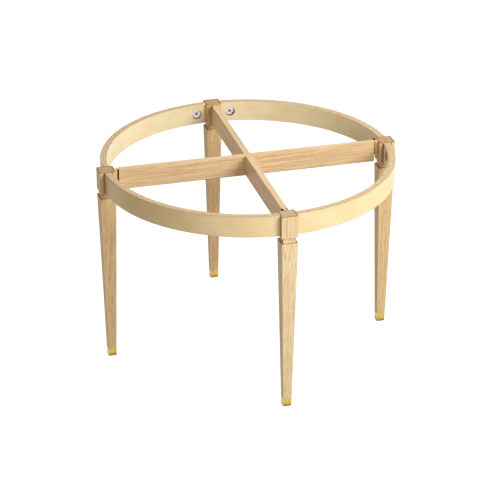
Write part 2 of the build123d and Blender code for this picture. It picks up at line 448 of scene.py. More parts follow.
@dataclass(frozen=True)
class OakFinish:
    """Satin-lacquered solid oak: growth rings about a pith, open pores, fibres, dark end grain.

    The heights of the stretchers' lower edge and of the head's bottom, the reach of the
    corner shade painted beside the apron, the rings' bend and their width are in millimetres.
    """

    pale: Colour = srgb(250, 220, 170)
    warm: Colour = srgb(228, 184, 130)
    deep: Colour = srgb(176, 124, 78)
    pore: Colour = srgb(112, 74, 44)
    end_tint: Colour = (0.80, 0.77, 0.72)
    # Near-black shade painted at the stretchers' tongue roots, and a pale sheen painted on their tops
    root: Colour = (0.020, 0.012, 0.006)
    painted_top_sheen: Colour = srgb(255, 240, 216)
    lower_edge: float = 646.0
    head_bottom: float = 643.0
    corner_shade_reach: float = 12.0
    corner_shade_share: float = 0.75
    bend: float = 26.0
    ring_width: float = 3.1
    roughness: float = 0.46

    def material(
        self,
        name: str,
        grain: Grain,
        pith: Sequence[float],
        tilt: Sequence[float],
        roots: tuple[float, float] | None = None,
        apron: tuple[float, float] | None = None,
    ) -> bpy.types.Material:
        """Make the finish for one piece.

        Rings are the whole numbers of the distance from the pith, bent by slow noise, over
        the ring width. Pores are fine noise drawn out along the fibres, most of them where a
        ring starts. Faces across the fibres are darker. A stretcher gets a painted sheen on
        top, painted shade at the roots of its tongues and painted shade along its lower edges.

        Args:
            name: Name of the material.
            grain: Direction of the fibres.
            pith: Place of the pith from the origin in millimetres, after the turn.
            tilt: Small turn of the pith from the fibres' axis, in radians.
            roots: Distances from the middle, in millimetres, between which shade is painted on
                a stretcher beside its tongues.
            apron: Inner and outer radius of the apron, in millimetres, beside which shade is
                painted in the corners of a leg's head.

        Returns:
            The material.
        """
        ink = Ink(bpy.data.materials.new(name))
        turn = tuple(a + b for a, b in zip(grain.value, tilt))
        at = ink.place(turn, pith)
        slow = ink.vector("MULTIPLY", at, (1.0, 1.0, 0.10))
        bend = ink.vector("SUBTRACT", ink.noise(slow, 0.016, 2.0, 0.5, colour=True), (0.5, 0.5, 0.5))
        bent = ink.vector("ADD", at, ink.vector("MULTIPLY", bend, (self.bend, self.bend, 0.0)))
        across, through, along = ink.split(bent)
        reach = ink.reach(across, through)
        phase = ink.math("DIVIDE", reach, self.ring_width)
        ring = ink.math("FLOOR", phase)
        within = ink.math("FRACT", phase)
        early = ink.fade(within, 0.0, 0.38, 1.0, 0.0)
        late = ink.fade(within, 0.35, 0.95)
        luck = ink.chance(ring)

        fibre = ink.drawn(at, 0.022, 0.85, 5.0, 0.62)
        band = ink.drawn(at, 0.05, 0.11, 2.0, 0.55)
        cloud = ink.drawn(at, 0.3, 0.011, 2.0)
        streak = ink.drawn(at, 0.007, 0.42, 2.0, 0.6)
        dash = ink.drawn(at, 0.14, 0.42, 1.0)
        open_pore = ink.fade(ink.drawn(at, 0.05, 2.3, 1.5), 0.575, 0.68)
        pore = ink.times(open_pore, ink.math("MULTIPLY_ADD", early, 0.75, 0.25))

        depth = ink.math("MULTIPLY_ADD", late, 0.26, ink.math("MULTIPLY_ADD", luck, 0.20, -0.02))
        depth = ink.math("ADD", depth, ink.fade(band, 0.35, 0.70, -0.14, 0.30))
        depth = ink.math("ADD", depth, ink.fade(cloud, 0.35, 0.65, -0.10, 0.14), clamp=True)
        colour = ink.mix(depth, self.pale, self.warm)
        colour = ink.stain(colour, self.deep, fibre, 0.46, 0.74, 0.55)
        colour = ink.stain(colour, self.deep, streak, 0.50, 0.62, 0.38)
        colour = ink.stain(colour, self.deep, dash, 0.60, 0.70, 0.16)
        colour = ink.wash(colour, self.pore, pore, 0.45)

        # End grain: dark early wood, pale rays from the pith and bows of darker rings
        turned = ink.math("ABSOLUTE", ink.vector("DOT_PRODUCT", ink.normal(), grain.axis))
        end = ink.fade(turned, 0.55, 0.85)
        angle = ink.math("ARCTAN2", across, through)
        ray = ink.fade(ink.noise(ink.join((angle, 260.0), (reach, 0.05), along), 1.0, 1.0), 0.60, 0.70)
        bow = ink.noise(ink.join((reach, 0.17), (angle, 5.0), 0.0), 1.0, 2.0)
        ended = ink.mix(1.0, colour, self.end_tint, "MULTIPLY")
        ended = ink.wash(ended, self.pore, ink.math("ADD", early, ink.times(pore, 1.2)), 0.35)
        ended = ink.wash(ended, colour, ray, 0.30)
        ended = ink.stain(ended, self.deep, bow, 0.46, 0.60, 0.50)
        colour = ink.mix(end, colour, ended)

        # Arrises are paler on the sides and darker round the end grain
        arris = ink.attribute("arris")
        colour = ink.wash(colour, self.pale, arris, ink.math("MULTIPLY_ADD", end, -0.55, 0.55))
        colour = ink.wash(colour, self.pore, arris, ink.times(end, 0.66))
        # Shade painted in the corners of the head beside the apron, above the head's bottom, off the end grain
        if apron is not None:
            inner, outer = apron
            x, y, high = ink.split(ink.place())
            radius = ink.reach(x, y)
            off = ink.math("MAXIMUM", ink.math("SUBTRACT", radius, outer), ink.math("SUBTRACT", inner, radius))
            beside = ink.fade(off, 0.0, self.corner_shade_reach, self.corner_shade_share, 0.0)
            corner_shade = ink.times(beside, ink.fade(high, self.head_bottom, self.head_bottom + 4.0))
            colour = ink.wash(colour, self.pore, corner_shade, ink.math("SUBTRACT", 1.0, end))
        # Stretcher: a painted sheen on top, painted shade at the tongues' roots except on faces turned up or towards +X
        # and +Y, and painted shade along the lower edge
        if roots is not None:
            whole = ink.vector("ABSOLUTE", ink.place())
            out = ink.vector("DOT_PRODUCT", whole, grain.axis)
            _, _, high = ink.split(whole)
            _, _, up = ink.split(ink.normal())
            lit = ink.math("MAXIMUM", up, ink.vector("DOT_PRODUCT", ink.normal(), (1.0, 1.0, 0.0)))
            start = ink.fade(out, roots[0] - 0.4, roots[0] - 0.05)
            stop = ink.fade(out, roots[1] - 1.0, roots[1] + 1.5, 0.94, 0.0)
            painted_edge_shade = ink.fade(high, self.lower_edge + 1.0, self.lower_edge + 3.0, 0.65, 0.0)
            colour = ink.stain(colour, self.painted_top_sheen, up, 0.5, 0.8, 0.15)
            colour = ink.wash(colour, self.root, ink.times(start, stop), ink.fade(lit, 0.5, 0.8, 1.0, 0.0))
            colour = ink.mix(painted_edge_shade, colour, self.pore)

        # Pores and end grain are rougher than the lacquered fibres, and pores lie deeper
        rough = ink.math("MULTIPLY_ADD", fibre, 0.16, self.roughness - 0.08)
        rough = ink.math("MULTIPLY_ADD", pore, 0.18, rough)
        rough = ink.math("MULTIPLY_ADD", end, 0.14, rough)
        rough = ink.math("MULTIPLY_ADD", arris, -0.06, rough, clamp=True)
        height = ink.math("MULTIPLY_ADD", pore, -1.0, ink.times(fibre, 0.5))
        height = ink.math("MULTIPLY_ADD", late, 0.25, height)
        normal = ink.bump(height, 0.55, 0.12)
        return ink.surface(
            colour, rough, normal, Coat_Weight=0.02, Coat_Roughness=0.30, Specular_IOR_Level=0.12
        )


@dataclass(frozen=True)
class LaminateFinish:
    """Bent plywood: pale birch veneer on both faces, its plies bare on the edges."""

    pale: Colour = srgb(255, 236, 190)
    inner_pale: Colour = srgb(255, 243, 204)
    warm: Colour = srgb(248, 212, 154)
    line: Colour = srgb(216, 176, 118)
    long_ply: Colour = srgb(255, 238, 202)
    cross_ply: Colour = srgb(214, 184, 142)
    glue: Colour = srgb(130, 94, 54)
    inner_radius: float = 491.0
    thickness: float = 23.0
    plies: int = 13
    roughness: float = 0.44

    def material(self, name: str, seams: Sequence[float], seed: float) -> bpy.types.Material:
        """Make the finish for one arc.

        The face's figure is read on the distance along the arc, which is the angle about
        the Z axis times the mean radius, and on the height. The plies are whole steps of
        the distance from the inner face.

        Args:
            name: Name of the material.
            seams: Angles in degrees, within the arc's own quarter, of butted core joints.
            seed: Shift that gives each arc its own figure.

        Returns:
            The material.
        """
        ink = Ink(bpy.data.materials.new(name))
        at = ink.place()
        x, y, z = ink.split(at)
        radius = ink.reach(x, y)
        angle = ink.math("ARCTAN2", y, x)
        mean = self.inner_radius + self.thickness / 2
        along = ink.math("MULTIPLY_ADD", angle, mean, seed)

        figure_at = ink.join(ink.times(along, 0.0045), ink.times(z, 0.040), seed * 0.01)
        swell = ink.noise(figure_at, 1.0, 2.0, 0.5)
        phase = ink.math("MULTIPLY_ADD", swell, 9.0, ink.times(z, 0.035))
        within = ink.math("FRACT", phase)
        arch = ink.fade(within, 0.0, 0.9)
        streak_at = ink.join(ink.times(along, 0.016), ink.times(z, 0.75), ink.times(radius, 0.05))
        streak = ink.noise(streak_at, 1.0, 5.0, 0.62)
        fleck_at = ink.join(ink.times(along, 0.10), ink.times(z, 2.4), seed)
        fleck = ink.fade(ink.noise(fleck_at, 1.0, 1.0), 0.64, 0.76)
        patch_at = ink.join(ink.times(along, 0.010), ink.times(z, 0.016), seed)
        patch = ink.noise(patch_at, 1.0, 2.0)
        face = ink.mix(ink.fade(patch, 0.30, 0.72, 0.05, 0.50), self.pale, self.warm)
        face = ink.mix(ink.times(arch, 0.30), face, self.warm)
        face = ink.mix(ink.fade(streak, 0.50, 0.78, 0.0, 0.55), face, self.line)
        face = ink.mix(ink.times(fleck, 0.28), face, self.line)

        depth = ink.math("SUBTRACT", radius, self.inner_radius)
        inside = ink.fade(depth, 0.35 * self.thickness, 0.65 * self.thickness, 0.86, 0.0)
        lining = ink.mix(ink.fade(patch, 0.34, 0.72, 0.0, 0.45), self.inner_pale, self.warm)
        lining = ink.mix(ink.fade(streak, 0.52, 0.78, 0.0, 0.30), lining, self.line)
        face = ink.mix(inside, face, lining)
        wander = ink.noise(ink.join(ink.times(along, 0.02), radius, seed), 0.35, 1.0)
        bowed = ink.math("MULTIPLY_ADD", ink.math("SUBTRACT", wander, 0.5), 0.5, depth)
        step = ink.times(bowed, self.plies / self.thickness)
        ply = ink.math("FLOOR", step)
        share = ink.math("FRACT", step)
        odd = ink.math("MODULO", ply, 2.0)
        luck = ink.chance(ink.math("ADD", ply, seed))
        dash_at = ink.join(ink.times(along, 0.42), ink.times(radius, 0.9), ink.times(z, 0.05))
        dash = ink.noise(dash_at, 1.0, 2.5, 0.6)
        grain_at = ink.join(ink.times(along, 0.03), ink.times(radius, 1.6), seed)
        lined = ink.noise(grain_at, 1.0, 2.0)
        long_tone = ink.mix(ink.fade(lined, 0.42, 0.70, 0.0, 0.5), self.long_ply, self.cross_ply)
        cross_tone = ink.mix(ink.fade(dash, 0.46, 0.66, 0.0, 0.75), self.cross_ply, self.glue)
        edge = ink.mix(odd, long_tone, cross_tone)
        edge = ink.mix(ink.times(luck, 0.25), edge, self.warm)
        rim = ink.math("ABSOLUTE", ink.math("SUBTRACT", share, 0.5))
        edge = ink.mix(ink.fade(rim, 0.42, 0.49, 0.0, 0.45), edge, self.glue)
        mottle_at = ink.join(ink.times(along, 0.10), ink.times(radius, 0.24), seed)
        edge = ink.mix(ink.fade(ink.noise(mottle_at, 1.0, 2.0), 0.50, 0.60, 0.0, 0.50), edge, self.glue)
        edge = ink.mix(ink.fade(depth, self.thickness - 2.4, self.thickness - 1.2, 0.0, 0.55), edge, self.glue)

        for place in seams:
            offset = ink.math("ABSOLUTE", ink.times(ink.math("SUBTRACT", angle, math.radians(place)), mean))
            edge = ink.mix(ink.fade(offset, 0.5, 1.5, 0.8, 0.0), edge, self.glue)

        _, _, up = ink.split(ink.normal())
        on_edge = ink.fade(ink.math("ABSOLUTE", up), 0.35, 0.75)
        colour = ink.mix(on_edge, face, edge)
        arris = ink.attribute("arris")
        colour = ink.mix(ink.times(arris, 0.18), colour, self.line)
        # The bore's wall and floor, marked 2, are painted dark with shade
        colour = ink.mix(ink.fade(arris, 1.1, 1.8, 0.0, 0.85), colour, self.glue)
        rough = ink.math("MULTIPLY_ADD", streak, 0.14, self.roughness - 0.07)
        rough = ink.math("MULTIPLY_ADD", on_edge, 0.16, rough, clamp=True)
        height = ink.math("ADD", ink.times(streak, 0.5), ink.times(on_edge, ink.times(odd, -0.6)))
        return ink.surface(
            colour, rough, ink.bump(height, 0.45, 0.08), Coat_Weight=0.05, Coat_Roughness=0.30, Specular_IOR_Level=0.25
        )


@dataclass(frozen=True)
class MetalFinish:
    """Metal with faint scratches, cloudy tarnish and edges rubbed bright."""

    base: Colour
    dull: Colour
    roughness: float
    tarnish: float = 0.5
    recess: float = 0.0
    # A height in millimetres below which the metal turns darker, towards the tone after it
    darker_below: float = 0.0
    foot_tone: Colour = (0.10, 0.075, 0.020)

    def material(
        self, name: str, seed: float = 0.0, lathe: tuple[Sequence[float], Sequence[float]] | None = None
    ) -> bpy.types.Material:
        """Make the finish for one piece.

        Args:
            name: Name of the material.
            seed: Shift of the pattern in millimetres.
            lathe: Turn and shift that put a turned piece's axis on Z, for its tool rings and for
                the shade painted within the recess radius of the axis.

        Returns:
            The material.
        """
        ink = Ink(bpy.data.materials.new(name))
        at = ink.place(shift=(seed, seed, seed))
        cloud = ink.noise(at, 0.16, 3.0, 0.6)
        fine = ink.noise(at, 1.9, 4.0, 0.6)
        scratch = ink.noise(ink.vector("MULTIPLY", at, (0.4, 0.4, 5.0)), 1.5, 2.0, 0.5)
        patchy = ink.math("MULTIPLY_ADD", fine, 0.35, ink.times(cloud, 0.75))
        share = ink.fade(patchy, 0.45, 0.75, 0.0, self.tarnish)
        colour = ink.mix(share, self.base, self.dull)
        arris = ink.attribute("arris")
        colour = ink.mix(ink.times(arris, 0.5), colour, self.base)
        # Darker towards the bottom, up to the given height, with a cloudy edge
        if self.darker_below > 0.0:
            _, _, high = ink.split(ink.place())
            foot_level = ink.math("MULTIPLY_ADD", ink.math("SUBTRACT", cloud, 0.5), 12.0, high)
            colour = ink.mix(ink.fade(foot_level, 0.0, self.darker_below, 0.75, 0.0), colour, self.foot_tone)
        rough = ink.math("MULTIPLY_ADD", share, 0.22, self.roughness)
        rough = ink.math("MULTIPLY_ADD", ink.fade(scratch, 0.55, 0.72), 0.12, rough)
        height = ink.math("MULTIPLY_ADD", fine, 0.35, ink.times(scratch, 0.3))
        if lathe is not None:
            turn, shift = lathe
            u, v, _ = ink.split(ink.place(turn, shift))
            reach = ink.reach(u, v)
            rings = ink.noise(ink.join(ink.times(reach, 5.5), 0.0, 0.0), 1.0, 2.0)
            height = ink.math("MULTIPLY_ADD", rings, 0.8, height)
            # Shade painted on what lies within the recess radius of the axis, the cam's drive
            painted_recess_shade = ink.fade(reach, self.recess - 0.5, self.recess + 0.5, 0.92, 0.0)
            colour = ink.mix(painted_recess_shade, colour, (0.010, 0.010, 0.012))
            rough = ink.math("MULTIPLY_ADD", painted_recess_shade, 0.40, rough, clamp=True)
        return ink.surface(colour, rough, ink.bump(height, 0.35, 0.05), Metallic=1.0)


OAK = OakFinish()
PALE_OAK = OakFinish(pale=srgb(255, 234, 192), warm=srgb(240, 204, 156), deep=srgb(194, 144, 98))
STRETCHER_OAK = OakFinish(pale=srgb(250, 220, 174), warm=srgb(226, 184, 132), deep=srgb(172, 124, 80))
BEECH = OakFinish(
    pale=srgb(240, 212, 170), warm=srgb(224, 188, 142), deep=srgb(204, 160, 116), pore=srgb(168, 122, 82),
    ring_width=4.0,
)
LAMINATE = LaminateFinish()
BRASS = MetalFinish(base=srgb(206, 176, 88), dull=srgb(136, 108, 44), roughness=0.20, tarnish=0.7, darker_below=16.0)
NICKEL = MetalFinish(base=srgb(206, 204, 208), dull=srgb(150, 150, 150), roughness=0.30, tarnish=0.5)
# The cam's drive, within 3.6 mm of its axis, is painted with shade
CAM_STEEL = MetalFinish(base=srgb(186, 184, 188), dull=srgb(124, 122, 122), roughness=0.34, recess=3.6)


def rounded_square(half: np.ndarray, radius: np.ndarray, flats: np.ndarray, steps: int) -> np.ndarray:
    """Outlines of squares with round corners, with matching points.

    Each side runs straight through the given shares of its flat length, and a quarter
    circle of equal steps joins it to the next.

    Args:
        half: Half widths, one for each outline.
        radius: Corner radii, one for each outline.
        flats: Shares from -1 to 1 of the flat length, ends included.
        steps: Steps of each quarter circle.

    Returns:
        Outlines by points by 2 array, counter-clockwise from the +X side.
    """
    half, radius = np.asarray(half, float)[:, None], np.asarray(radius, float)[:, None]
    reach = half - radius
    turn = np.linspace(0.0, math.pi / 2, steps + 1)[None, 1:-1]
    x = np.concatenate([half + 0 * flats[None], reach + radius * np.cos(turn)], axis=1)
    y = np.concatenate([reach * flats[None], reach + radius * np.sin(turn)], axis=1)
    sides = [(x, y), (-y, x), (-x, -y), (y, -x)]
    return np.stack([np.concatenate([side[axis] for side in sides], axis=1) for axis in (0, 1)], axis=-1)


def arc_steps(start: float, end: float, count: int) -> np.ndarray:
    """Equal steps of an angle in degrees, ends included, in radians."""
    return np.radians(np.linspace(start, end, count + 1))


@dataclass
class Leg:
    """Tapered oak leg with its brass ferrule, a neck groove and a square head."""

    corner: Corner
    radius: float = 504.0
    height: float = 720.0
    head_half: float = 28.5
    head_bottom: float = 643.0
    neck_half: float = 22.0
    ledge: float = 623.0
    foot_half: float = 14.5
    arris: float = 1.6
    edge: float = 0.6
    ferrule_top: float = 30.0
    ferrule_floor: float = 3.0
    wall: float = 1.5
    screw_hole: float = 1.75
    countersink: float = 3.9
    mortise_half: float = 5.0
    mortise_top: float = 702.0
    mortise_bottom: float = 670.0
    mortise_depth: float = 18.0
    apron_radii: tuple[float, float] = (491.0, 514.0)
    corner_steps: int = 6
    flats: np.ndarray = field(init=False)

    def __post_init__(self) -> None:
        """Shares of a flat side, with two that fall on the mortise's cheeks."""
        cheek = self.mortise_half / (self.head_half - self.arris)
        right = np.array([cheek, 0.36, 0.58, 0.78, 0.89, 0.95, 1.0])
        self.flats = np.concatenate([-right[::-1], [0.0], right])

    def half_at(self, z: np.ndarray) -> np.ndarray:
        """Half width of the taper, which grows evenly from the floor to the ledge."""
        return self.foot_half + (self.head_half - self.foot_half) * np.asarray(z, float) / self.ledge

    def placed(self, outline: np.ndarray, z: np.ndarray) -> np.ndarray:
        """Outlines at heights, moved to the leg's place.

        Args:
            outline: Rings by points by 2 array.
            z: Height of each ring.

        Returns:
            Rings by points by 3 array in millimetres.
        """
        high = np.broadcast_to(np.asarray(z, float)[:, None], outline.shape[:2])
        points = np.stack([outline[..., 0] + self.radius, outline[..., 1], high], axis=-1)
        return quarter_turned(points, self.corner.value)

    def near_corner(self, half: np.ndarray, radius: np.ndarray) -> np.ndarray:
        """Nearness of outline points to an upright arris: exp(-distance / 1.2 mm)."""
        reach = (np.asarray(half) - np.asarray(radius))[:, None]
        off = reach * (1.0 - np.abs(self.flats))[None]
        side = np.concatenate([np.exp(-off / 1.2), np.ones((len(off), self.corner_steps - 1))], axis=1)
        return np.tile(side, (1, 4))

    def wood(self) -> bpy.types.Object:
        """The leg's surface, one ring of points after another from the foot to the top.

        The rings climb the spigot, step out to the taper, turn over the ledge to the neck,
        and out again to the head, whose top closes in rings that shrink to a point. The
        mortise is a pocket let into the head's inner side.

        Returns:
            The object.
        """
        e, top = self.edge, self.height
        spigot = np.linspace(self.ferrule_floor, self.ferrule_top, 3)
        body = np.linspace(self.ferrule_top + 0.4, self.ledge - e, 70)
        over = arc_steps(0, 90, 4)
        ledge_z = self.ledge - e + e * np.sin(over[1:])
        ledge_half = self.head_half - e + e * np.cos(over[1:])
        under_z = self.head_bottom + e - e * np.cos(over)
        under_half = self.head_half - e + e * np.sin(over)
        head_z = np.concatenate([
            np.linspace(self.head_bottom + e, self.mortise_bottom, 5)[1:],
            np.linspace(self.mortise_bottom, self.mortise_top, 6)[1:],
            np.linspace(self.mortise_top, top - e, 5)[1:],
        ])
        crown_z = top - e + e * np.sin(over[1:])
        crown_half = self.head_half - e + e * np.cos(over[1:])
        cap_half = np.array([26.6, 25.5, 22.0, 15.0, 8.0, 0.0])
        z = np.concatenate([
            [self.ferrule_floor], spigot, [self.ferrule_top, self.ferrule_top + 0.1], body, ledge_z,
            [self.ledge, self.ledge + 0.3, self.head_bottom - 0.3, self.head_bottom], under_z, head_z, crown_z,
            np.full(len(cap_half), top),
        ])
        half = np.concatenate([
            [0.0], self.half_at(spigot) - self.wall,
            self.half_at([self.ferrule_top, self.ferrule_top + 0.1]) - [0.35, 0.1],
            self.half_at(body), ledge_half,
            [self.neck_half + 0.3, self.neck_half, self.neck_half, self.neck_half + 0.3], under_half,
            np.full(len(head_z), self.head_half), crown_half, cap_half,
        ])
        radius = np.minimum(self.arris, half * 0.5)
        narrow = (half < self.head_half - 0.001) & (z > self.ledge - e - 0.01)
        radius = np.where(narrow, np.minimum(radius, 1.2), radius)
        outline = rounded_square(half, radius, self.flats, self.corner_steps)
        levels = (self.ledge, self.head_bottom, top)
        near_edge = np.maximum.reduce([np.exp(-np.abs(z - level) / 1.2) for level in levels])
        near_edge = near_edge * (half > self.head_half - 3.2)
        arris = np.maximum(self.near_corner(half, radius), near_edge[:, None])
        arris = np.where((half < 24.0)[:, None] & (z > self.ledge - 1)[:, None], 0.0, arris)

        keep = np.ones(outline.shape[:2], dtype=bool)[:-1]
        count = len(self.flats) + self.corner_steps - 1
        inner = 2 * count
        middle = inner + len(self.flats) // 2
        in_mortise = (z[:-1] >= self.mortise_bottom - 0.01) & (z[:-1] < self.mortise_top - 0.01)
        keep[np.ix_(in_mortise, [middle - 1, middle])] = False
        surface = Surface()
        surface.add(self.placed(outline, z), closed=True, keep=keep, arris=arris)
        self.add_mortise(surface, z[(z >= self.mortise_bottom - 0.01) & (z <= self.mortise_top + 0.01)])
        return surface.to_object(f"oak_leg_{self.corner.label}")

    def add_mortise(self, surface: Surface, levels: np.ndarray) -> None:
        """Add the pocket's walls and end, whose points meet those of the head's inner side.

        Args:
            surface: Surface to add to.
            levels: Heights of the head's rings from the pocket's bottom to its top.
        """
        face = self.radius - self.head_half
        depth = face + self.mortise_depth
        across = np.array([-self.mortise_half, 0.0, self.mortise_half])
        loop = border(across, levels)
        ring = [np.column_stack([np.full(len(loop), x), loop]) for x in (face, depth)]
        surface.add(quarter_turned(np.stack(ring), self.corner.value), closed=True)
        y, z = np.meshgrid(across, levels)
        end = np.stack([np.full_like(y, depth), y, z], axis=-1)
        surface.add(quarter_turned(end, self.corner.value))

    def ferrule(self) -> bpy.types.Object:
        """The ferrule's surface: round rings at the screw hole turn into square ones outside.

        Returns:
            The object.
        """
        lip, sole, top, floor = 0.35, 0.8, self.ferrule_top, self.ferrule_floor
        over, under = arc_steps(0, 90, 4), arc_steps(0, 90, 5)
        rise = np.linspace(top - lip, sole, 14)[1:-1]
        z = np.concatenate([
            [floor, floor, floor + 0.3, top], [top] * 2, top - lip + lip * np.cos(over[1:]), rise, sole - sole * np.sin(under), [0.0, 0.0],
        ])
        half = np.concatenate([
            [self.screw_hole, self.half_at(floor) - self.wall - 0.3, self.half_at(floor) - self.wall, self.half_at(top) - self.wall],
            [self.half_at(top) - self.wall, self.half_at(top) - lip],
            self.half_at(top) - lip + lip * np.sin(over[1:]), self.half_at(rise), self.half_at(0) - sole + sole * np.cos(under),
            [8.0, self.countersink],
        ])
        radius = np.minimum(self.arris, half * 0.6)
        square = rounded_square(half, radius, self.flats, self.corner_steps)
        direction = square / np.linalg.norm(square, axis=-1, keepdims=True)
        round_share = np.zeros(len(half))
        round_share[[0, -1]] = 1.0
        outline = square * (1 - round_share[:, None, None]) + direction * (half * round_share)[:, None, None]
        cone = direction[:1] * np.array([self.screw_hole, self.screw_hole])[:, None, None]
        z = np.concatenate([z, [self.countersink - self.screw_hole, floor]])
        outline = np.concatenate([outline, cone])
        arris = np.maximum(
            np.concatenate([self.near_corner(half, radius), np.zeros((2, outline.shape[1]))]),
            np.maximum(np.exp(-np.abs(z - top) / 0.8), np.exp(-z / 0.8))[:, None],
        )
        surface = Surface()
        surface.add(self.placed(outline, z), closed=True, arris=arris)
        return surface.to_object(f"brass_ferrule_{self.corner.label}")

    def build(self) -> None:
        """Make, dress and seat the leg and its ferrule."""
        label = self.corner.label
        spread = {"right": (212.0, -61.0), "back": (-140.0, 95.0), "left": (118.0, 150.0), "front": (-60.0, -198.0)}[label]
        wood = self.wood()
        board = PALE_OAK if self.corner is Corner.FRONT else OAK
        pith = (*spread, 40.0 * self.corner.value)
        finish = board.material(f"oak_{label}", Grain.UPRIGHT, pith, (0.012, -0.016, 0.0), apron=self.apron_radii)
        seat(wood, finish, f"leg_{label}")
        ferrule = self.ferrule()
        seat(ferrule, BRASS.material(f"brass_{label}", 31.0 * self.corner.value), f"ferrule_{label}")


